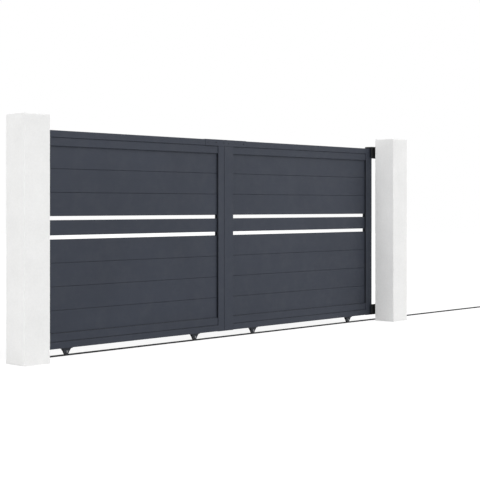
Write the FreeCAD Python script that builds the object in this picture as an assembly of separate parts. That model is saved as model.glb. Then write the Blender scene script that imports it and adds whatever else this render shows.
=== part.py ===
import FreeCAD, Part
import math
import os

# Sliding driveway gate between two rendered masonry posts, in millimetres.
# X runs along the gate, Y through it away from the road, Z up from the ground.
# The origin is the centre of the left post's foot. The leaf is drawn closed
# and slides towards +X, behind the right post.

# Posts
post_side = 212.0
post_height = 1687.0
post_edge_radius = 5.0
opening = 3878.0

# Leaf, two framed halves bolted together at the middle
half_length = 1936.0
leaf_depth = 42.0
leaf_overlap = 1.0
leaf_gap = 33.0
ground_clearance = 55.0
stile_width = 86.0
frame_wall = 2.5
frame_edge_radius = 2.5

# Hooks of the two meeting stiles, each lying in a rebate of the other
hook_reach = 16.0
hook_thickness = 3.0
hook_gap = 3.0

# Caps in the ends of the stiles
cap_thickness = 2.0
cap_lip = 12.0
cap_wall = 2.5

# Top and bottom rails of the leaf
rail_height = 110.4
outer_band = 49.2
band_step = 5.0
rail_channel = 7.5

# Infill slats, a little behind the middle of the leaf
slat_pitch = 168.0
slat_setback = 3.0
slat_depth = 16.0
slat_wall = 1.5
slot_height = 28.2
narrow_slat = 108.1
upper_slats = 3
lower_slats = 4
groove_line = 2.5
tongue_height = 8.0
tongue_depth = 6.0
channel_depth = 16.0
seat_clearance = 0.3

# Cover over the joint of the two top rails
cover_length = 464.0
cover_wall = 2.0

# Track on the ground
track_lengths = 4
track_start = 0.0
track_length = 1900.0
track_foot_width = 34.0
track_sheet = 2.5
ridge_radius = 5.0
ridge_top = 10.0
fixing_radius = 2.75
fixing_inset = 100.0
fixing_offset = 12.0

# Stop at the open end of the track
stop_length = 70.0
stop_height = 44.0
stop_flat = 24.0
stop_toe = 12.0
stop_width = 30.0
buffer_length = 12.0
buffer_radius = 11.0

# Wheels
running_gap = 0.3
groove_depth = 4.5
wheel_radius = 22.0
wheel_width = 19.0
axle_radius = 4.0
axle_clearance = 0.06
axle_head_flats = 13.0
axle_head_width = 4.0

# Wheel brackets, set in from both ends of each half of the leaf
wheel_inset = 336.0
fork_gap = 20.0
fork_plate = 2.5
fork_top = 76.0
fork_tip = 26.0
fork_corner = 6.5
fork_drop = 16.0
bracket_foot = 4.0
bracket_foot_length = 92.0
bracket_foot_width = 36.0
bracket_window = 36.0

# Guides at the right post
guide_clearance = 8.0
guide_height = 104.0
guide_roof = 9.0
guide_cheek = 9.0
guide_flare = 10.0
guide_front_reach = 36.0
guide_back_reach = 32.0
guide_on_post = 130.0
guide_pad_inset = 15.0
guide_end_radius = 4.0
lower_guide_reach = 36.0
lower_guide_height = 95.0

# Catches at the left post
catch_engagement = 45.0
catch_end_gap = 6.0
catch_height = 99.0
catch_wall = 9.0
catch_pad = 60.0

# Places that follow from the sizes above
post_half = post_side / 2
post_back = post_half
right_post_x = opening + post_side
right_post_face = right_post_x - post_half
leaf_left = post_half - leaf_overlap
leaf_joint = leaf_left + half_length
leaf_right = leaf_joint + half_length
leaf_front = post_back + leaf_gap
leaf_back = leaf_front + leaf_depth
leaf_middle = leaf_front + leaf_depth / 2
slat_middle = leaf_middle + slat_setback
slat_front = slat_middle - slat_depth / 2
slat_back = slat_middle + slat_depth / 2
channel_front = slat_front - seat_clearance
channel_back = slat_back + seat_clearance
leaf_bottom = ground_clearance
lower_infill = leaf_bottom + rail_height - rail_channel
lower_slot = lower_infill + lower_slats * slat_pitch
narrow_bottom = lower_slot + slot_height
upper_slot = narrow_bottom + narrow_slat
upper_infill = upper_slot + slot_height
leaf_top = upper_infill + upper_slats * slat_pitch - rail_channel + rail_height
outer_chamber = frame_wall
meeting_chamber = hook_reach + hook_gap + frame_wall
ridge_centre = ridge_top - ridge_radius
groove_half = ridge_radius + running_gap
axle_height = ridge_top + running_gap + wheel_radius - groove_depth
wheel_places = [leaf_left + wheel_inset, leaf_joint - wheel_inset,
                leaf_joint + wheel_inset, leaf_right - wheel_inset]

os.makedirs("parts", exist_ok=True)


def save(name, shape):
    shape.exportStep("parts/" + name + ".step")


def box(x0, x1, y0, y1, z0, z1):
    corner = FreeCAD.Vector(min(x0, x1), min(y0, y1), min(z0, z1))
    return Part.makeBox(abs(x1 - x0), abs(y1 - y0), abs(z1 - z0), corner)


def flat_face(points):
    return Part.Face(Part.makePolygon(points + [points[0]]))


# Solids swept along X, Y or Z from an outline in the other two directions
def along_x(outline, x0, x1):
    points = [FreeCAD.Vector(x0, y, z) for y, z in outline]
    return flat_face(points).extrude(FreeCAD.Vector(x1 - x0, 0, 0))


def along_y(outline, y0, y1):
    points = [FreeCAD.Vector(x, y0, z) for x, z in outline]
    return flat_face(points).extrude(FreeCAD.Vector(0, y1 - y0, 0))


def along_z(outline, z0, z1):
    points = [FreeCAD.Vector(x, y, z0) for x, y in outline]
    return flat_face(points).extrude(FreeCAD.Vector(0, 0, z1 - z0))


# Rounds the edges of a solid that run in one direction through the given points
same_place = 0.001


def round_edges(shape, radius, direction, places):
    chosen = []
    for edge in shape.Edges:
        start = edge.firstVertex().Point
        run = edge.lastVertex().Point.sub(start)
        if run.cross(direction).Length > same_place:
            continue
        for place in places:
            offset = place.sub(start)
            if offset.sub(direction * offset.dot(direction)).Length < same_place:
                chosen.append(edge)
    return shape.makeFillet(radius, chosen)


along_x_axis = FreeCAD.Vector(1, 0, 0)
along_y_axis = FreeCAD.Vector(0, 1, 0)
along_z_axis = FreeCAD.Vector(0, 0, 1)


# A post with its upright edges rounded by the render
def post(centre_x):
    body = box(centre_x - post_half, centre_x + post_half, -post_half, post_half, 0, post_height)
    sides = (-post_half, post_half)
    corners = [FreeCAD.Vector(centre_x + across, depth, 0) for across in sides for depth in sides]
    return round_edges(body, post_edge_radius, along_z_axis, corners)


# Opens a stile's main chamber, the channel for the slat ends and a chamber before the channel
def hollow_stile(body, outer_x, inward, chamber_start):
    wall = frame_wall
    inner_x = outer_x + inward * stile_width
    channel_x = inner_x - inward * channel_depth
    chamber_x = outer_x + inward * chamber_start
    low = leaf_bottom
    high = leaf_top
    chamber = box(chamber_x, channel_x - inward * wall, leaf_front + wall, leaf_back - wall, low, high)
    channel = box(channel_x, inner_x, channel_front, channel_back, low, high)
    pocket = box(channel_x, inner_x - inward * wall, leaf_front + wall, channel_front - wall, low, high)
    return body.cut(chamber).cut(channel).cut(pocket)


# Outer stile, a box section with rounded corners
def outer_stile(outer_x, inward):
    inner_x = outer_x + inward * stile_width
    body = box(outer_x, inner_x, leaf_front, leaf_back, leaf_bottom, leaf_top)
    sides = (leaf_front, leaf_back)
    corners = [FreeCAD.Vector(x, y, 0) for x in (outer_x, inner_x) for y in sides]
    body = round_edges(body, frame_edge_radius, along_z_axis, corners)
    return hollow_stile(body, outer_x, inward, outer_chamber)


# Meeting stile, with a hook along one face and a rebate for its neighbour's hook along the other
def meeting_stile(inward):
    wall = frame_wall
    inner_x = leaf_joint + inward * stile_width
    hook_x = leaf_joint - inward * hook_reach
    rebate_x = leaf_joint + inward * (hook_reach + hook_gap)
    hook_y = leaf_middle - inward * leaf_depth / 2
    rebate_y = leaf_middle + inward * leaf_depth / 2
    hook_inside = hook_y + inward * hook_thickness
    rebate_floor = rebate_y - inward * (hook_thickness + seat_clearance)
    outline = [(hook_x, hook_y), (inner_x, hook_y), (inner_x, rebate_y), (rebate_x, rebate_y),
               (rebate_x, rebate_floor), (leaf_joint, rebate_floor), (leaf_joint, hook_inside),
               (hook_x, hook_inside)]
    body = along_z(outline, leaf_bottom, leaf_top)
    corners = [FreeCAD.Vector(inner_x, y, 0) for y in (leaf_front, leaf_back)]
    body = round_edges(body, frame_edge_radius, along_z_axis, corners)
    side_chamber = box(leaf_joint + inward * wall, rebate_x, hook_y + inward * wall,
                       rebate_floor - inward * wall, leaf_bottom, leaf_top)
    return hollow_stile(body.cut(side_chamber), leaf_joint, inward, meeting_chamber)


# Plastic cap in the end of a stile, a plate over its section and a hollow plug in its chamber
def stile_cap(outer_x, inward, chamber_start, end_z, into):
    near_x = outer_x + inward * (chamber_start + seat_clearance)
    far_x = outer_x + inward * (stile_width - channel_depth - frame_wall - seat_clearance)
    front = leaf_front + frame_wall + seat_clearance
    back = leaf_back - frame_wall - seat_clearance
    lip_z = end_z + into * cap_lip
    plate_z = end_z - into * cap_thickness
    wall_x = inward * cap_wall
    plate = box(outer_x, outer_x + inward * stile_width, leaf_front, leaf_back, plate_z, end_z)
    plug = box(near_x, far_x, front, back, end_z, lip_z)
    hollow = box(near_x + wall_x, far_x - wall_x, front + cap_wall, back - cap_wall, end_z, lip_z)
    return plate.fuse(plug.cut(hollow)).removeSplitter()


# A rail of the leaf is a hollow section. Its outer band is flush with the stiles, its inner
# band is set back behind a cut line and has a channel that holds the edge of a slat.
def leaf_rail(x0, x1, outer_z, inward):
    line = groove_line
    wall = frame_wall
    step_z = outer_z + inward * outer_band
    inner_z = outer_z + inward * rail_height
    floor_z = inner_z - inward * rail_channel

    def side(face_y, into, channel_y):
        step_y = face_y + into * band_step
        return [(face_y, outer_z), (face_y, step_z - inward * line), (face_y + into * line, step_z),
                (step_y + into * line, step_z), (step_y, step_z + inward * line),
                (step_y, inner_z - inward * line), (step_y + into * line, inner_z),
                (channel_y, inner_z), (channel_y, floor_z)]

    back = side(leaf_back, -1, channel_back)
    body = along_x(side(leaf_front, 1, channel_front) + back[::-1], x0, x1)
    corners = [FreeCAD.Vector(0, y, outer_z) for y in (leaf_front, leaf_back)]
    body = round_edges(body, frame_edge_radius, along_x_axis, corners)
    neck = band_step + line + wall
    neck_z = step_z - inward * wall
    outer_void = box(x0, x1, leaf_front + wall, leaf_back - wall, outer_z + inward * wall, neck_z)
    inner_void = box(x0, x1, leaf_front + neck, leaf_back - neck, neck_z, floor_z - inward * wall)
    return body.cut(outer_void.fuse(inner_void))


# A slat is a hollow board with chamfered edges, a tongue on top and a groove below
def slat(x0, x1, z0, z1, has_tongue, has_groove):
    line = groove_line
    outline = [(slat_front, z0 + line), (slat_front + line, z0), (slat_back - line, z0),
               (slat_back, z0 + line), (slat_back, z1 - line), (slat_back - line, z1),
               (slat_front + line, z1), (slat_front, z1 - line)]
    body = along_x(outline, x0, x1)
    half_tongue = tongue_depth / 2
    groove_top = z0 + tongue_height + seat_clearance
    void_low = groove_top + slat_wall
    void_high = z1 - line - slat_wall
    body = body.cut(box(x0, x1, slat_front + slat_wall, slat_back - slat_wall, void_low, void_high))
    if has_groove:
        half_groove = half_tongue + seat_clearance
        body = body.cut(box(x0, x1, slat_middle - half_groove, slat_middle + half_groove, z0, groove_top))
    if has_tongue:
        tongue = box(x0, x1, slat_middle - half_tongue, slat_middle + half_tongue,
                     z1 - line, z1 + tongue_height)
        body = body.fuse(tongue).removeSplitter()
    return body


# A run of slats, numbered from below, each seated on the one under it
def slat_run(name, count, x0, x1, bottom):
    for index in range(count):
        z0 = bottom + index * slat_pitch
        board = slat(x0, x1, z0, z0 + slat_pitch, index < count - 1, index > 0)
        save(name + "_" + str(index + 1), board)


# One half of the leaf
def leaf_half(side, outer_x, inward):
    save(side + "_outer_stile", outer_stile(outer_x, inward))
    save(side + "_meeting_stile", meeting_stile(-inward))
    rail_x0 = min(outer_x, leaf_joint) + stile_width
    rail_x1 = max(outer_x, leaf_joint) - stile_width
    save(side + "_top_rail", leaf_rail(rail_x0, rail_x1, leaf_top, -1))
    save(side + "_bottom_rail", leaf_rail(rail_x0, rail_x1, leaf_bottom, 1))
    slat_x0 = rail_x0 - channel_depth + seat_clearance
    slat_x1 = rail_x1 + channel_depth - seat_clearance
    slat_run(side + "_lower_slat", lower_slats, slat_x0, slat_x1, lower_infill)
    slat_run(side + "_upper_slat", upper_slats, slat_x0, slat_x1, upper_infill)
    save(side + "_narrow_slat", slat(slat_x0, slat_x1, narrow_bottom, upper_slot, False, False))


# Cover over the joint, a channel that caps both top rails
def joint_cover():
    x0 = leaf_joint - cover_length / 2
    x1 = leaf_joint + cover_length / 2
    front = leaf_front - cover_wall
    back = leaf_back + cover_wall
    low = leaf_top - outer_band
    high = leaf_top + cover_wall
    body = box(x0, x1, front, back, low, high)
    top_edges = [FreeCAD.Vector(0, y, high) for y in (front, back)]
    body = round_edges(body, cover_wall, along_x_axis, top_edges)
    return body.cut(box(x0, x1, leaf_front, leaf_back, low, leaf_top))


# Track, a strip rolled up into a half-round ridge for the grooved wheels
def track(x0):
    x1 = x0 + track_length
    front = leaf_middle - track_foot_width / 2
    back = leaf_middle + track_foot_width / 2
    foot = box(x0, x1, front, back, 0, track_sheet)
    start = FreeCAD.Vector(x0, leaf_middle, ridge_centre)

    def arch(radius):
        web = box(x0, x1, leaf_middle - radius, leaf_middle + radius, 0, ridge_centre)
        return web.fuse(Part.makeCylinder(radius, track_length, start, along_x_axis))

    ground = box(x0, x1, front, back, -ridge_radius, 0)
    ridge = foot.fuse(arch(ridge_radius))
    body = ridge.cut(arch(ridge_radius - track_sheet)).cut(ground).removeSplitter()
    for x in (x0 + fixing_inset, x1 - fixing_inset):
        place = FreeCAD.Vector(x, leaf_middle - fixing_offset, 0)
        body = body.cut(Part.makeCylinder(fixing_radius, track_sheet, place))
    return body


# Stop at the open end of the track, a ramped casting with a round buffer
def track_stop():
    x1 = track_start + track_lengths * track_length
    x0 = x1 - stop_length
    outline = [(x0, track_sheet), (x1, track_sheet), (x1, stop_toe),
               (x0 + stop_flat, stop_height), (x0, stop_height)]
    body = along_y(outline, leaf_middle - stop_width / 2, leaf_middle + stop_width / 2)
    slot = box(x0, x1, leaf_middle - groove_half, leaf_middle + groove_half,
               track_sheet, ridge_top + running_gap)
    nose = FreeCAD.Vector(x0 - buffer_length, leaf_middle, stop_height - buffer_radius)
    buffer = Part.makeCylinder(buffer_radius, buffer_length, nose, along_x_axis)
    return body.cut(slot).fuse(buffer).removeSplitter()


# Wheel turned about its axle, with a groove that fits over the ridge of the track
def wheel(x):
    half_rim = wheel_width / 2
    bore = axle_radius + axle_clearance
    half = [(bore, half_rim), (wheel_radius, half_rim), (wheel_radius, groove_half),
            (wheel_radius - groove_depth, groove_half)]
    outline = half + [(radius, -across) for radius, across in reversed(half)]
    points = [FreeCAD.Vector(x + radius, leaf_middle + across, axle_height) for radius, across in outline]
    return flat_face(points).revolve(FreeCAD.Vector(x, leaf_middle, axle_height), along_y_axis, 360)


# Hexagonal bolt head or nut on the line of an axle
hexagon_sides = 6


def axle_head(x, y0, y1):
    turn = 2 * math.pi / hexagon_sides
    radius = axle_head_flats / 2 / math.cos(turn / 2)
    turns = [turn * side for side in range(hexagon_sides)]
    outline = [(x + radius * math.cos(t), axle_height + radius * math.sin(t)) for t in turns]
    return along_y(outline, y0, y1)


# Bracket with two tapered plates, a bolt through them as the axle and a foot under the leaf
# that is open above the wheel
def wheel_bracket(x):
    foot_low = leaf_bottom - bracket_foot
    half_foot = bracket_foot_length / 2
    half_window = bracket_window / 2
    inner_front = leaf_middle - fork_gap / 2
    inner_back = leaf_middle + fork_gap / 2
    foot = box(x - half_foot, x + half_foot, leaf_middle - bracket_foot_width / 2,
               leaf_middle + bracket_foot_width / 2, foot_low, leaf_bottom)
    window = box(x - half_window, x + half_window, inner_front, inner_back, foot_low, leaf_bottom)
    front = inner_front - fork_plate
    back = inner_back + fork_plate
    tip_low = axle_height - fork_drop
    half_tip = fork_tip / 2
    half_top = fork_top / 2
    outline = [(x - half_top, foot_low), (x + half_top, foot_low), (x + half_tip, tip_low + fork_corner),
               (x + half_tip - fork_corner, tip_low), (x - half_tip + fork_corner, tip_low),
               (x - half_tip, tip_low + fork_corner)]
    plates = [along_y(outline, front, inner_front), along_y(outline, inner_back, back)]
    start = FreeCAD.Vector(x, inner_front, axle_height)
    axle = Part.makeCylinder(axle_radius, fork_gap, start, along_y_axis)
    heads = [axle_head(x, front - axle_head_width, front), axle_head(x, back, back + axle_head_width)]
    return foot.cut(window).fuse(plates + [axle] + heads).removeSplitter()


# Plan outline of a cheek whose free ends flare away from the leaf
def cheek_outline(x0, x1, face_y, far_y):
    outward = 1 if far_y > face_y else -1
    lead = face_y + outward * guide_flare / 2
    return [(x0, lead), (x0 + guide_flare, face_y), (x1 - guide_flare, face_y), (x1, lead),
            (x1, far_y), (x0, far_y)]


# A cheek beside the leaf at the right post, with its free corners rounded
def guide_cheek_plate(x0, face_y, outward, low, high):
    x1 = right_post_face + guide_on_post
    plate = along_z(cheek_outline(x0, x1, face_y, face_y + outward * guide_cheek), low, high)
    ends = [FreeCAD.Vector(x0, 0, low), FreeCAD.Vector(x0, 0, high), FreeCAD.Vector(x1, 0, low)]
    return round_edges(plate, guide_end_radius, along_y_axis, ends)


# Front cheek of a guide on the pad that holds it off the back of the right post
def front_cheek(reach, low, high):
    face_y = leaf_front - guide_clearance
    plate = guide_cheek_plate(right_post_face - reach, face_y, -1, low, high)
    pad = box(right_post_face + guide_pad_inset, right_post_face + guide_on_post - guide_flare,
              post_back, face_y - guide_cheek, low, high)
    return plate.fuse(pad)


# Guide over the top edge of the leaf, open at both ends
def top_guide():
    back_x0 = right_post_face - guide_back_reach
    x1 = right_post_face + guide_on_post
    high = leaf_top + guide_clearance + guide_roof
    low = high - guide_height
    front_face = leaf_front - guide_clearance
    back_face = leaf_back + guide_clearance
    back = guide_cheek_plate(back_x0, back_face, 1, low, high)
    roof = box(back_x0 + guide_end_radius, x1, front_face, back_face, high - guide_roof, high)
    return front_cheek(guide_front_reach, low, high).fuse([back, roof]).removeSplitter()


# Guide at the foot of the leaf, beside its front face
def lower_guide():
    high = leaf_bottom + lower_guide_height
    return front_cheek(lower_guide_reach, leaf_bottom, high).removeSplitter()


# Catch that receives the edge of the closed leaf, on the back of the left post
def catch(z0):
    z1 = z0 + catch_height
    x1 = leaf_left + catch_engagement
    end_x = leaf_left - catch_end_gap
    x0 = end_x - catch_wall
    front_face = leaf_front - guide_clearance
    back_face = leaf_back + guide_clearance
    far_back = back_face + catch_wall
    front = along_z(cheek_outline(x0 - guide_flare, x1, front_face, post_back), z0, z1)
    back = along_z(cheek_outline(x0 - guide_flare, x1, back_face, far_back), z0, z1)
    end = box(x0, end_x, front_face, back_face, z0, z1)
    surplus = box(x0 - 2 * guide_flare, x0, post_back, far_back, z0, z1)
    pad = box(x0 - catch_pad, x0, post_back, post_back + catch_wall, z0, z1)
    return front.fuse([back, end]).cut(surplus).fuse(pad).removeSplitter()


save("left_post", post(0.0))
save("right_post", post(right_post_x))
leaf_half("left", leaf_left, 1)
leaf_half("right", leaf_right, -1)
stile_caps = [stile_cap(leaf_left, 1, outer_chamber, leaf_top, -1),
              stile_cap(leaf_right, -1, outer_chamber, leaf_top, -1),
              stile_cap(leaf_left, 1, outer_chamber, leaf_bottom, 1),
              stile_cap(leaf_joint, -1, meeting_chamber, leaf_bottom, 1),
              stile_cap(leaf_joint, 1, meeting_chamber, leaf_bottom, 1),
              stile_cap(leaf_right, -1, outer_chamber, leaf_bottom, 1)]
save("stile_caps", Part.makeCompound(stile_caps))
save("top_joint_cover", joint_cover())
for index in range(track_lengths):
    save("track_" + str(index + 1), track(track_start + index * track_length))
save("track_stop", track_stop())
for index, x in enumerate(wheel_places):
    save("wheel_" + str(index + 1), wheel(x))
    save("wheel_bracket_" + str(index + 1), wheel_bracket(x))
save("top_guide", top_guide())
save("lower_guide", lower_guide())
save("top_catch", catch(leaf_top - catch_height))
save("lower_catch", catch(leaf_bottom))
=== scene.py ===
import math

import bmesh
import bpy
from mathutils import Matrix, Vector, noise


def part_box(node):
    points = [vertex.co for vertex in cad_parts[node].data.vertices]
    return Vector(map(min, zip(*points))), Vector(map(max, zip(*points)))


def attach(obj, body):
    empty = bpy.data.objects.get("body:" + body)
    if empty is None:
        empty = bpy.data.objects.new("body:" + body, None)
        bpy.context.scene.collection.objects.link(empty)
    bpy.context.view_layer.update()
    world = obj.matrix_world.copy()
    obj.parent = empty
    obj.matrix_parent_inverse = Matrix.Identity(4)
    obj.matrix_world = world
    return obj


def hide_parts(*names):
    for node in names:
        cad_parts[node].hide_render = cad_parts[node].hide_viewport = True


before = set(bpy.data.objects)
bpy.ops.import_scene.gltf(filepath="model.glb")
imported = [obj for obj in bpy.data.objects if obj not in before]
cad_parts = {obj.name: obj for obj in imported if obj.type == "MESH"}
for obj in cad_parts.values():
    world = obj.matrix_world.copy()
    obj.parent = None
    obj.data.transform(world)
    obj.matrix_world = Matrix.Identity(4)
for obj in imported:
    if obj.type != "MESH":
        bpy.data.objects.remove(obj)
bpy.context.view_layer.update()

# Places and sizes of the solids, in metres
leaf_low, leaf_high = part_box("left_outer_stile")
leaf_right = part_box("right_outer_stile")[1].x
leaf_front = leaf_low.y
leaf_back = leaf_high.y
leaf_middle = (leaf_front + leaf_back) / 2
leaf_bottom = leaf_low.z
leaf_top = leaf_high.z
post_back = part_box("right_post")[1].y
ridge_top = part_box("track_1")[1].z
lower_slat_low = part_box("left_lower_slat_1")[0].z
upper_slat_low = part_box("left_upper_slat_1")[0].z
slat_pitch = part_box("left_lower_slat_2")[0].z - lower_slat_low
line_half = 0.0025
rail_band = 0.0492
rail_step = leaf_bottom + rail_band
rail_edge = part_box("left_bottom_rail")[1].z
stop_length = 0.070
stop_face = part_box("track_stop")[1].x - stop_length
hair = 0.001

# Directions
front = Vector((0, -1, 0))
back = Vector((0, 1, 0))
up = Vector((0, 0, 1))
down = Vector((0, 0, -1))


# Node helpers
class Shader:
    """A material's node tree, with short calls for the nodes used here."""

    def __init__(self, name):
        self.material = bpy.data.materials.new(name)
        self.material.use_nodes = True
        self.tree = self.material.node_tree
        self.surface = self.tree.nodes["Principled BSDF"]
        self.place = self.add("ShaderNodeTexCoord").outputs["Object"]

    def add(self, kind):
        return self.tree.nodes.new(kind)

    def link(self, source, target):
        self.tree.links.new(source, target)

    def scaled(self, scale):
        mapping = self.add("ShaderNodeMapping")
        mapping.inputs["Scale"].default_value = scale
        self.link(self.place, mapping.inputs["Vector"])
        return mapping.outputs["Vector"]

    def noise(self, scale, detail=3.0, rough=0.5, vector=None):
        node = self.add("ShaderNodeTexNoise")
        node.inputs["Scale"].default_value = scale
        node.inputs["Detail"].default_value = detail
        node.inputs["Roughness"].default_value = rough
        self.link(vector or self.place, node.inputs["Vector"])
        return node.outputs["Fac"]

    def cells(self, scale):
        node = self.add("ShaderNodeTexVoronoi")
        node.inputs["Scale"].default_value = scale
        self.link(self.place, node.inputs["Vector"])
        return node.outputs["Distance"]

    def ramp(self, value, low, low_colour, high, high_colour):
        node = self.add("ShaderNodeValToRGB")
        stops = ((low, low_colour), (high, high_colour))
        for element, (position, colour) in zip(node.color_ramp.elements, stops):
            element.position = position
            element.color = (*colour, 1.0)
        self.link(value, node.inputs["Fac"])
        return node.outputs["Color"]

    def span(self, value, low, high, out_low, out_high):
        node = self.add("ShaderNodeMapRange")
        node.inputs["From Min"].default_value = low
        node.inputs["From Max"].default_value = high
        node.inputs["To Min"].default_value = out_low
        node.inputs["To Max"].default_value = out_high
        self.link(value, node.inputs["Value"])
        return node.outputs["Result"]

    def math(self, operation, first, second):
        node = self.add("ShaderNodeMath")
        node.operation = operation
        for socket, value in zip(node.inputs, (first, second)):
            self.fill(socket, value)
        return node.outputs["Value"]

    def mix(self, factor, first, second, blend="MIX"):
        node = self.add("ShaderNodeMix")
        node.data_type = "RGBA"
        node.blend_type = blend
        for name, value in (("Factor", factor), ("A", first), ("B", second)):
            self.fill([s for s in node.inputs if s.name == name and s.enabled][-1], value)
        return [s for s in node.outputs if s.enabled][-1]

    def shade(self, base, value, low, high, depth, factor):
        """Darkens a colour where a pattern is low."""
        grey = self.ramp(value, low, (depth,) * 3, high, (1.0,) * 3)
        return self.mix(factor, base, grey, "MULTIPLY")

    def axis(self, name):
        node = self.add("ShaderNodeSeparateXYZ")
        self.link(self.place, node.inputs["Vector"])
        return node.outputs[name]

    def bump(self, height, strength, distance, under=None):
        node = self.add("ShaderNodeBump")
        node.inputs["Strength"].default_value = strength
        node.inputs["Distance"].default_value = distance
        self.link(height, node.inputs["Height"])
        if under:
            self.link(under, node.inputs["Normal"])
        return node.outputs["Normal"]

    def fill(self, socket, value):
        if isinstance(value, (int, float)):
            socket.default_value = value
        elif isinstance(value, tuple):
            socket.default_value = (*value, 1.0)
        else:
            self.link(value, socket)

    def finish(self, colour, roughness, normal, metallic=0.0, specular=0.5):
        self.fill(self.surface.inputs["Base Color"], colour)
        self.fill(self.surface.inputs["Roughness"], roughness)
        self.fill(self.surface.inputs["Normal"], normal)
        self.fill(self.surface.inputs["Metallic"], metallic)
        self.fill(self.surface.inputs["Specular IOR Level"], specular)
        return self.material


def scaled_colour(colour, factor):
    return tuple(channel * factor for channel in colour)


coat_colour = (0.0388, 0.0451, 0.0615)
coat_specular = 0.16
# Share of the coat colour left where painted shade darkens the joints and ledges
painted_shade_share = 0.2


# Powder coat on drawn aluminium, with faint die lines along the profile
def powder_coat(name, colour, grain, first_joint=None, ledges=()):
    """Painted shade darkens every joint of the slats, from the first joint up, and each ledge."""
    s = Shader(name)
    patch = s.noise(1.7, 3.0)
    speckle = s.noise(1400.0, 2.0)
    die_lines = s.noise(1.0, 4.0, 0.6, s.scaled(grain))
    base = s.ramp(patch, 0.3, scaled_colour(colour, 0.94), 0.7, scaled_colour(colour, 1.06))
    base = s.shade(base, speckle, 0.35, 0.65, 0.8, 0.5)
    base = s.shade(base, die_lines, 0.3, 0.6, 0.9, 0.6)
    dust = s.span(s.noise(9.0, 5.0, 0.65), 0.45, 0.75, 0.0, 0.025)
    base = s.mix(dust, base, (0.30, 0.29, 0.27))
    # Painted shade: a darker line along each joint between slats
    if first_joint is not None:
        turn = s.math("DIVIDE", s.math("SUBTRACT", s.axis("Z"), first_joint), slat_pitch)
        distance = s.math("PINGPONG", turn, 0.5)
        line_share = line_half / slat_pitch
        painted_shade = s.span(distance, line_share * 0.3, line_share * 1.3, 0.4, 0.0)
        base = s.mix(painted_shade, base, scaled_colour(colour, painted_shade_share))
    # Painted shade: a darker line along each ledge of the rails
    for ledge in ledges:
        distance = s.math("ABSOLUTE", s.math("SUBTRACT", s.axis("Z"), ledge), 0.0)
        painted_shade = s.span(distance, line_half * 0.6, line_half * 1.6, 0.5, 0.0)
        base = s.mix(painted_shade, base, scaled_colour(colour, painted_shade_share))
    roughness = s.span(s.noise(22.0, 4.0), 0.3, 0.7, 0.46, 0.58)
    peel = s.bump(speckle, 0.25, 0.0002)
    normal = s.bump(die_lines, 0.12, 0.0004, peel)
    return s.finish(base, roughness, normal, specular=coat_specular)


# Float-finished mineral render
def mineral_render():
    s = Shader("fine_render")
    cloud = s.noise(4.5, 4.0, 0.6)
    mottle = s.noise(55.0, 5.0, 0.6)
    grains = s.cells(520.0)
    fine = s.noise(900.0, 3.0, 0.7)
    base = s.ramp(cloud, 0.3, (0.80, 0.80, 0.795), 0.7, (0.85, 0.85, 0.845))
    base = s.shade(base, mottle, 0.3, 0.7, 0.93, 0.6)
    base = s.shade(base, grains, 0.05, 0.45, 0.86, 0.35)
    uneven_height = s.math("ADD", s.axis("Z"), s.math("MULTIPLY", mottle, 0.10))
    splash = s.span(uneven_height, 0.03, 0.16, 0.06, 0.0)
    base = s.mix(splash, base, (0.50, 0.48, 0.45))
    normal = s.bump(fine, 0.3, 0.0006, s.bump(grains, 0.35, 0.0012))
    roughness = s.span(mottle, 0.3, 0.7, 0.86, 0.96)
    return s.finish(base, roughness, normal, specular=0.2)


# Moulded plastic with a fine spark texture and pale scuffs
def moulded_plastic(name, colour, roughness):
    s = Shader(name)
    spark = s.noise(2600.0, 2.0)
    scuffs = s.noise(1.0, 5.0, 0.7, s.scaled((90.0, 90.0, 30.0)))
    base = s.shade(colour, s.noise(30.0, 4.0), 0.3, 0.7, 0.8, 0.6)
    base = s.mix(s.span(scuffs, 0.58, 0.75, 0.0, 0.35), base, (0.09, 0.09, 0.09))
    rough = s.span(scuffs, 0.4, 0.7, roughness, roughness + 0.15)
    return s.finish(base, rough, s.bump(spark, 0.3, 0.0002), specular=0.25)


# Painted steel track, its ridge worn by the wheels
def track_paint():
    s = Shader("track_paint")
    height = s.axis("Z")
    broken = s.noise(1.0, 5.0, 0.7, s.scaled((12.0, 700.0, 700.0)))
    crown = s.span(height, ridge_top - 0.001, ridge_top, 0.0, 1.0)
    worn = s.math("MULTIPLY", crown, s.span(broken, 0.42, 0.6, 0.1, 0.6))
    grit = s.noise(420.0, 4.0, 0.65)
    paint = s.ramp(grit, 0.3, (0.005, 0.005, 0.006), 0.75, (0.012, 0.012, 0.013))
    base = s.mix(worn, paint, (0.035, 0.035, 0.038))
    metallic = s.math("MULTIPLY", worn, 0.5)
    roughness = s.span(grit, 0.3, 0.7, 0.55, 0.75)
    return s.finish(base, roughness, s.bump(grit, 0.2, 0.0003), metallic, 0.25)


# Steel with a plated or oiled finish
def plated_steel(name, colour, roughness, metallic=1.0):
    s = Shader(name)
    haze = s.noise(70.0, 4.0, 0.6)
    base = s.mix(s.span(haze, 0.35, 0.7, 0.0, 1.0), colour, scaled_colour(colour, 0.72))
    base = s.shade(base, s.cells(260.0), 0.0, 0.6, 0.75, 0.25)
    fine = s.bump(s.noise(1800.0, 2.0), 0.12, 0.0001)
    return s.finish(base, s.span(haze, 0.3, 0.7, roughness, roughness + 0.2), fine, metallic)


# Rubber of wheel seals and of the buffer on the track's stop
def rubber():
    s = Shader("black_rubber")
    pores = s.noise(1100.0, 3.0)
    base = s.ramp(s.noise(40.0, 4.0), 0.3, (0.012, 0.012, 0.012), 0.75, (0.028, 0.027, 0.026))
    roughness = s.span(pores, 0.3, 0.7, 0.7, 0.85)
    return s.finish(base, roughness, s.bump(pores, 0.3, 0.0002), specular=0.3)


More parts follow.
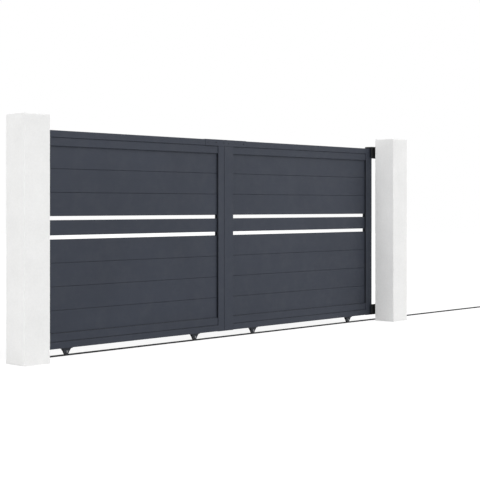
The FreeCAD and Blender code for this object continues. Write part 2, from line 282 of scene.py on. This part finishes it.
along_x = (0.6, 420.0, 420.0)
along_z = (420.0, 420.0, 0.6)
frame_coat = powder_coat("coat_on_rails", coat_colour, along_x, ledges=(rail_step, rail_edge))
stile_coat = powder_coat("coat_on_stiles", coat_colour, along_z)
lower_coat = powder_coat("coat_on_lower_slats", coat_colour, along_x, lower_slat_low, (rail_edge,))
upper_coat = powder_coat("coat_on_upper_slats", coat_colour, along_x, upper_slat_low)
# Darker copy of the coat, painted shade for the side faces of the stiles in recesses and the joint
shaded_recess_coat = powder_coat("coat_with_painted_shade_in_recesses", scaled_colour(coat_colour, 0.4), along_z)
bracket_coat = powder_coat("coat_on_brackets", (0.026, 0.030, 0.038), (60.0, 60.0, 60.0))
cap_plastic = moulded_plastic("cap_plastic", (0.026, 0.031, 0.042), 0.5)
guide_plastic = moulded_plastic("guide_plastic", (0.0098, 0.0105, 0.0113), 0.45)
render_finish = mineral_render()
track_finish = track_paint()
wheel_finish = plated_steel("wheel_steel", (0.085, 0.088, 0.095), 0.42, 0.7)
bolt_finish = plated_steel("bolt_zinc", (0.30, 0.30, 0.31), 0.36)
screw_finish = plated_steel("dark_screws", (0.06, 0.065, 0.075), 0.42)
rubber_finish = rubber()


# Gives a carried-over solid its material, and a second one to the faces that pass a test
def paint(node, material, second=None, test=None):
    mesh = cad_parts[node].data
    mesh.materials.clear()
    mesh.materials.append(material)
    if second:
        mesh.materials.append(second)
    for face in mesh.polygons:
        face.material_index = 1 if test and test(face) else 0


# Side faces of the stiles beside slats and in the joint, which take a darker coat as painted shade
def in_recess(face):
    inside_leaf = leaf_low.x + hair < face.center.x < leaf_right - hair
    return inside_leaf and abs(face.normal.x) > 0.9


def on_buffer(face):
    return face.center.x < stop_face - hair


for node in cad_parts:
    if node == "stile_caps":
        paint(node, cap_plastic)
    elif "stile" in node:
        paint(node, stile_coat, shaded_recess_coat, in_recess)
    elif "lower_slat" in node:
        paint(node, lower_coat)
    elif "upper_slat" in node:
        paint(node, upper_coat)
    elif "rail" in node or "narrow_slat" in node or node == "top_joint_cover":
        paint(node, frame_coat)
    elif node.startswith("wheel_bracket"):
        paint(node, bracket_coat)
    elif node == "track_stop":
        paint(node, bracket_coat, rubber_finish, on_buffer)
    elif "guide" in node or "catch" in node:
        paint(node, guide_plastic)
    elif node.startswith("track"):
        paint(node, track_finish)


# Turns a mesh under construction into a piece that rides a body
def finish_mesh(name, bm, materials, body, smooth_angle=40.0):
    mesh = bpy.data.meshes.new(name)
    bm.normal_update()
    bm.to_mesh(mesh)
    bm.free()
    piece = bpy.data.objects.new(name, mesh)
    bpy.context.collection.objects.link(piece)
    for material in materials:
        mesh.materials.append(material)
    mesh.shade_smooth()
    mesh.set_sharp_from_angle(angle=math.radians(smooth_angle))
    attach(piece, body)
    return piece


def joined(bm, lower, upper, index):
    """Faces between two rings of the same length, or between a ring and a point."""
    count = max(len(lower), len(upper))
    for step in range(count):
        after = (step + 1) % count
        corners = [lower[step % len(lower)], lower[after % len(lower)],
                   upper[after % len(upper)], upper[step % len(upper)]]
        face = bm.faces.new(list(dict.fromkeys(corners)))
        face.material_index = index


def lathe(bm, base, direction, profile, segments, closed=False):
    """Turns a profile of (radius, height) steps about a line through base.

    A third value in a step sets the material of the faces that lead up to it.
    """
    turn = up.rotation_difference(direction).to_matrix()
    rings = []
    for radius, height, *_ in profile:
        count = segments if radius else 1
        ring = []
        for step in range(count):
            angle = 2 * math.pi * step / segments
            point = Vector((radius * math.cos(angle), radius * math.sin(angle), height))
            ring.append(bm.verts.new(base + turn @ point))
        rings.append(ring)
    for lower, upper, step in zip(rings, rings[1:], profile[1:]):
        joined(bm, lower, upper, step[2] if len(step) > 2 else 0)
    if closed:
        joined(bm, rings[-1], rings[0], 0)
        return
    for ring in (rings[0], rings[-1]):
        if len(ring) > 1:
            bm.faces.new(ring)


# Hexagon head with a chamfered top on a washer
def hex_head(bm, base, direction, across_flats, height, washer_radius, washer_height):
    washer = ((washer_radius, 0), (washer_radius, washer_height * 0.7),
              (washer_radius * 0.96, washer_height))
    lathe(bm, base, direction, washer, 28)
    corner = across_flats / math.sqrt(3)
    head = ((corner, 0), (corner, height * 0.8), (corner * 0.86, height))
    lathe(bm, base + direction * washer_height, direction, head, 6)


# Pan head with a sunk round socket
def pan_head(bm, base, direction, radius, height):
    dome = [(radius, 0), (radius * 0.99, height * 0.35), (radius * 0.86, height * 0.78),
            (radius * 0.6, height), (radius * 0.42, height)]
    lathe(bm, base, direction, dome + [(radius * 0.38, height * 0.35), (0, height * 0.3)], 24)


# Countersunk head that stands a little proud, with a sunk drive
def flat_head(bm, base, direction, radius):
    rim = ((radius, 0), (radius * 0.96, 0.0006), (radius * 0.5, 0.0008))
    lathe(bm, base, direction, rim + ((radius * 0.45, 0.0002), (0, 0.0002)), 20)


# Posts, float-rendered masonry with a slightly uneven skin and worn corners
cell = 0.0075
corner_radius = 0.005
corner_steps = 3
unevenness = 0.0009
mean_depth = 0.45
wave_scales_and_shares = ((9.0, 0.55), (38.0, 0.3), (120.0, 0.2))
cap_rings = 12


# Plan outline of a post round its own centre, with round corners
def post_outline(half):
    flat = half - corner_radius
    across = round(2 * flat / cell)
    outline = []
    for side in range(4):
        turn = Matrix.Rotation(side * math.pi / 2, 3, "Z")
        for step in range(across):
            outline.append(turn @ Vector((half, -flat + 2 * flat * step / across, 0)))
        for step in range(corner_steps):
            angle = math.pi / 2 * step / corner_steps
            bend = Vector((math.cos(angle), math.sin(angle), 0)) * corner_radius
            outline.append(turn @ (Vector((flat, flat, 0)) + bend))
    return outline


# How far the render's skin stands in from the true face at a spot
def skin_depth(spot):
    sway = sum(noise.noise(spot * scale) * share for scale, share in wave_scales_and_shares)
    return max(0.0, mean_depth - sway) * unevenness


def rendered_post(node):
    low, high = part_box(node)
    centre = (low + high) / 2
    half = (high.x - low.x) / 2
    outline = post_outline(half)
    straight = high.z - corner_radius
    rows = round(straight / cell)
    levels = [(straight * row / rows, 0.0) for row in range(rows + 1)]
    for step in range(1, corner_steps + 1):
        angle = math.pi / 2 * step / corner_steps
        rise = corner_radius * math.sin(angle)
        levels.append((straight + rise, corner_radius * (1 - math.cos(angle))))
    for step in range(1, cap_rings):
        levels.append((high.z, corner_radius + (half - corner_radius) * step / cap_rings))
    bm = bmesh.new()
    rings = []
    for height, inset in levels:
        ring = []
        for point in outline:
            spot = Vector((centre.x, centre.y, height)) + point * (1 - inset / half)
            inward = down if height == high.z else -point.normalized()
            ring.append(bm.verts.new(spot + inward * skin_depth(spot)))
        rings.append(ring)
    for vertex in rings[0]:
        vertex.co.z = 0.0
    for lower, upper in zip(rings, rings[1:]):
        joined(bm, lower, upper, 0)
    bm.faces.new(list(reversed(rings[0])))
    bm.faces.new(rings[-1])
    piece = finish_mesh(node + "_render", bm, [render_finish], "frame", 60.0)
    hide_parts(node)


rendered_post("left_post")
rendered_post("right_post")


# Wheels, turned steel with a round-bottomed groove and a sealed bearing pressed in
wheel_bore = 0.00406
groove_half = 0.0053
groove_depth = 0.0045


def turned_wheel(index):
    node = "wheel_" + str(index)
    low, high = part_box(node)
    half = (high.y - low.y) / 2
    radius = (high.x - low.x) / 2
    bottom = radius - groove_depth
    # Steps of one side from the bore out to the groove, with the seal as second material
    side = [(wheel_bore, half - 0.0004), (0.0046, half), (0.0066, half), (0.0068, half - 0.0010),
            (0.0102, half - 0.0012, 1), (0.0106, half - 0.0002), (0.0124, half),
            (0.0128, half - 0.0006), (0.0140, half - 0.0008), (0.0152, half - 0.0001),
            (radius - 0.0012, half), (radius - 0.0003, half - 0.0004), (radius, half - 0.0013),
            (radius, groove_half + 0.0006), (radius - 0.0006, groove_half),
            (bottom + 0.0012, groove_half - 0.0001), (bottom + 0.0004, groove_half * 0.9),
            (bottom, groove_half * 0.7)]
    mirrored = [(step[0], -step[1]) for step in reversed(side)]
    # The material of a mirrored face belongs to the step before it
    for place, step in enumerate(reversed(side)):
        if len(step) > 2:
            mirrored[place + 1] = (*mirrored[place + 1], 1)
    bm = bmesh.new()
    centre = (low + high) / 2
    lathe(bm, centre, back, side + mirrored, 96, closed=True)
    bmesh.ops.recalc_face_normals(bm, faces=bm.faces)
    finishes = [wheel_finish, rubber_finish]
    piece = finish_mesh(node + "_turned", bm, finishes, node, 30.0)
    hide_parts(node)


for index in range(1, 5):
    turned_wheel(index)


# Screws and bolts, with the sizes of the solids that they stand on
cover_screw_shares = (0.06, 0.26, 0.44, 0.56, 0.74, 0.94)
cover_screw = {"radius": 0.0048, "height": 0.0026}
stile_screw_rises = (0.016, 0.038, 0.080)
stile_screw = {"radius": 0.0052, "height": 0.0028}
bracket_foot = 0.004
foot_bolt_inset = 0.0052
foot_bolt = {"across_flats": 0.008, "height": 0.004, "washer_radius": 0.0050, "washer_height": 0.001}
fork_outside = 0.0125
axle_head_width = 0.004
axle_washer = ((0.0092, 0), (0.0092, 0.0010), (0.0088, 0.0014))
axle_centre_mark = ((0.0055, 0), (0.0050, 0.0005))
axle_tip = ((0.0040, 0), (0.0040, 0.0007), (0.0036, 0.0012))
guide_clearance = 0.008
guide_screw_radius = 0.0062
catch_wall = 0.009
catch_bolt = {"across_flats": 0.010, "height": 0.0045, "washer_radius": 0.0075, "washer_height": 0.0012}
track_screw_inset = 0.100
track_screw_offset = 0.012
track_screw_radius = 0.0046
track_sheet = 0.0025


# Screws that hold the cover over the joint of the top rails
def cover_screws():
    low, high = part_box("top_joint_cover")
    height = (low.z + high.z) / 2
    bm = bmesh.new()
    for share in cover_screw_shares:
        x = low.x + (high.x - low.x) * share
        pan_head(bm, Vector((x, low.y, height)), front, **cover_screw)
        pan_head(bm, Vector((x, high.y, height)), back, **cover_screw)
    finish_mesh("cover_screws", bm, [screw_finish], "leaf")


# Screws through the outer stiles into the screw ports of the rails
def stile_screws():
    bm = bmesh.new()
    for x, outward in ((leaf_low.x, -1), (leaf_right, 1)):
        for end, inward in ((leaf_top, -1), (leaf_bottom, 1)):
            for rise in stile_screw_rises:
                spot = Vector((x, leaf_middle, end + inward * rise))
                pan_head(bm, spot, Vector((outward, 0, 0)), **stile_screw)
    finish_mesh("stile_screws", bm, [screw_finish], "leaf")


# Bolts up through each bracket's foot, and a washer under each axle head
def bracket_bolts():
    bm = bmesh.new()
    for index in range(1, 5):
        low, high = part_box("wheel_bracket_" + str(index))
        foot = high.z - bracket_foot
        for x in (low.x + foot_bolt_inset, high.x - foot_bolt_inset):
            hex_head(bm, Vector((x, leaf_middle, foot)), down, **foot_bolt)
        wheel_low, wheel_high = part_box("wheel_" + str(index))
        axle = (wheel_low + wheel_high) / 2
        for side in (front, back):
            plate = axle + side * fork_outside
            lathe(bm, plate, side, axle_washer, 32)
            lathe(bm, plate + side * axle_head_width, side, axle_centre_mark, 28)
        lathe(bm, axle + back * (fork_outside + axle_head_width), back, axle_tip, 20)
    finish_mesh("bracket_bolts", bm, [bolt_finish], "leaf")


# Screws that hold the guides and catches to the backs of the posts
def guide_screws():
    inner_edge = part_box("right_post")[0].x
    bm = bmesh.new()
    for node in ("top_guide", "lower_guide"):
        low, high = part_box(node)
        for share_x in (0.25, 0.75):
            for share_z in (0.22, 0.78):
                x = inner_edge + (high.x - inner_edge) * share_x
                z = low.z + (high.z - low.z) * share_z
                flat_head(bm, Vector((x, leaf_front - guide_clearance, z)), back, guide_screw_radius)
    for node in ("top_catch", "lower_catch"):
        low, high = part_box(node)
        for share_x in (0.16, 0.34):
            for share_z in (0.2, 0.8):
                x = low.x + (high.x - low.x) * share_x
                z = low.z + (high.z - low.z) * share_z
                hex_head(bm, Vector((x, post_back + catch_wall, z)), back, **catch_bolt)
    finish_mesh("guide_screws", bm, [bolt_finish], "frame")


# Screws in the foot of the track
def track_screws():
    bm = bmesh.new()
    for index in range(1, 5):
        low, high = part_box("track_" + str(index))
        for x in (low.x + track_screw_inset, high.x - track_screw_inset):
            spot = Vector((x, leaf_middle - track_screw_offset, track_sheet))
            flat_head(bm, spot, up, track_screw_radius)
    finish_mesh("track_screws", bm, [screw_finish], "frame")


cover_screws()
stile_screws()
bracket_bolts()
guide_screws()
track_screws()


# Floor and sky, in what they give off to the object and in how they show
floor_half = 30.0
floor_middle = 2.0
floor_drop = 0.0005
floor_bounce = (0.60, 0.60, 0.60, 1.0)
floor_shown = (0.30, 0.30, 0.30, 1.0)
floor_glow = 0.78
sky_strength = 0.52
backdrop_strength = 1.0


# Whether a ray sees the floor or sky itself, straight on or by way of a shiny or clear face
def shown_ray(nodes, links):
    path = nodes.new("ShaderNodeLightPath")
    shown = path.outputs["Is Camera Ray"]
    for kind in ("Is Glossy Ray", "Is Transmission Ray"):
        either = nodes.new("ShaderNodeMath")
        either.operation = "MAXIMUM"
        links.new(shown, either.inputs[0])
        links.new(path.outputs[kind], either.inputs[1])
        shown = either.outputs[0]
    return shown


# Pale floor that shows white round the shadow
def stage():
    corners = ((-1, -1), (1, -1), (1, 1), (-1, 1))
    bm = bmesh.new()
    bm.faces.new([bm.verts.new((x * floor_half + floor_middle, y * floor_half, 0)) for x, y in corners])
    mesh = bpy.data.meshes.new("floor")
    bm.to_mesh(mesh)
    bm.free()
    floor = bpy.data.objects.new("floor", mesh)
    floor.location.z = -floor_drop
    bpy.context.collection.objects.link(floor)
    material = bpy.data.materials.new("floor_white")
    material.use_nodes = True
    nodes = material.node_tree.nodes
    links = material.node_tree.links
    nodes.clear()
    output = nodes.new("ShaderNodeOutputMaterial")
    bounce = nodes.new("ShaderNodeBsdfDiffuse")
    bounce.inputs["Color"].default_value = floor_bounce
    shown = nodes.new("ShaderNodeBsdfDiffuse")
    shown.inputs["Color"].default_value = floor_shown
    glow = nodes.new("ShaderNodeEmission")
    glow.inputs["Strength"].default_value = floor_glow
    white = nodes.new("ShaderNodeAddShader")
    links.new(shown.outputs[0], white.inputs[0])
    links.new(glow.outputs[0], white.inputs[1])
    mixed = nodes.new("ShaderNodeMixShader")
    links.new(shown_ray(nodes, links), mixed.inputs["Fac"])
    links.new(bounce.outputs[0], mixed.inputs[1])
    links.new(white.outputs[0], mixed.inputs[2])
    links.new(mixed.outputs[0], output.inputs["Surface"])
    mesh.materials.append(material)


# Soft sky light, shown as white
def world_light():
    world = bpy.data.worlds.new("studio")
    bpy.context.scene.world = world
    world.use_nodes = True
    nodes = world.node_tree.nodes
    links = world.node_tree.links
    nodes.clear()
    output = nodes.new("ShaderNodeOutputWorld")
    soft = nodes.new("ShaderNodeBackground")
    soft.inputs["Strength"].default_value = sky_strength
    white = nodes.new("ShaderNodeBackground")
    white.inputs["Strength"].default_value = backdrop_strength
    for background in (soft, white):
        background.inputs["Color"].default_value = (1.0, 1.0, 1.0, 1.0)
    mixed = nodes.new("ShaderNodeMixShader")
    links.new(shown_ray(nodes, links), mixed.inputs["Fac"])
    links.new(soft.outputs[0], mixed.inputs[1])
    links.new(white.outputs[0], mixed.inputs[2])
    links.new(mixed.outputs[0], output.inputs["Surface"])


# Distant lamp as soft as a large diffuser, so both ends of the gate are lit alike
def soft_lamp(name, towards, spread, strength):
    data = bpy.data.lights.new(name, "SUN")
    data.angle = math.radians(spread)
    data.energy = strength
    lamp = bpy.data.objects.new(name, data)
    lamp.rotation_euler = Vector(towards).to_track_quat("-Z", "Y").to_euler()
    bpy.context.collection.objects.link(lamp)


# Level camera at the photograph's place, with an upright shift in place of a tilt
camera_place = (-4.5654, -6.4099, 1.0647)
camera_heading = -45.957
camera_lens = 85.81
camera_shift = -0.0704


def camera():
    data = bpy.data.cameras.new("photo_view")
    data.sensor_width = 36.0
    data.lens = camera_lens
    data.shift_y = camera_shift
    data.clip_end = 200.0
    view = bpy.data.objects.new("photo_view", data)
    view.location = camera_place
    view.rotation_euler = (math.pi / 2, 0, math.radians(camera_heading))
    bpy.context.collection.objects.link(view)
    bpy.context.scene.camera = view


stage()
world_light()
soft_lamp("key", (-0.40, 0.62, -0.60), 60.0, 2.05)
soft_lamp("side", (0.90, 0.05, -0.40), 20.0, 1.52)
soft_lamp("behind", (-0.25, -0.95, -0.15), 60.0, 0.85)
camera()
bpy.context.scene.view_settings.view_transform = "Standard"
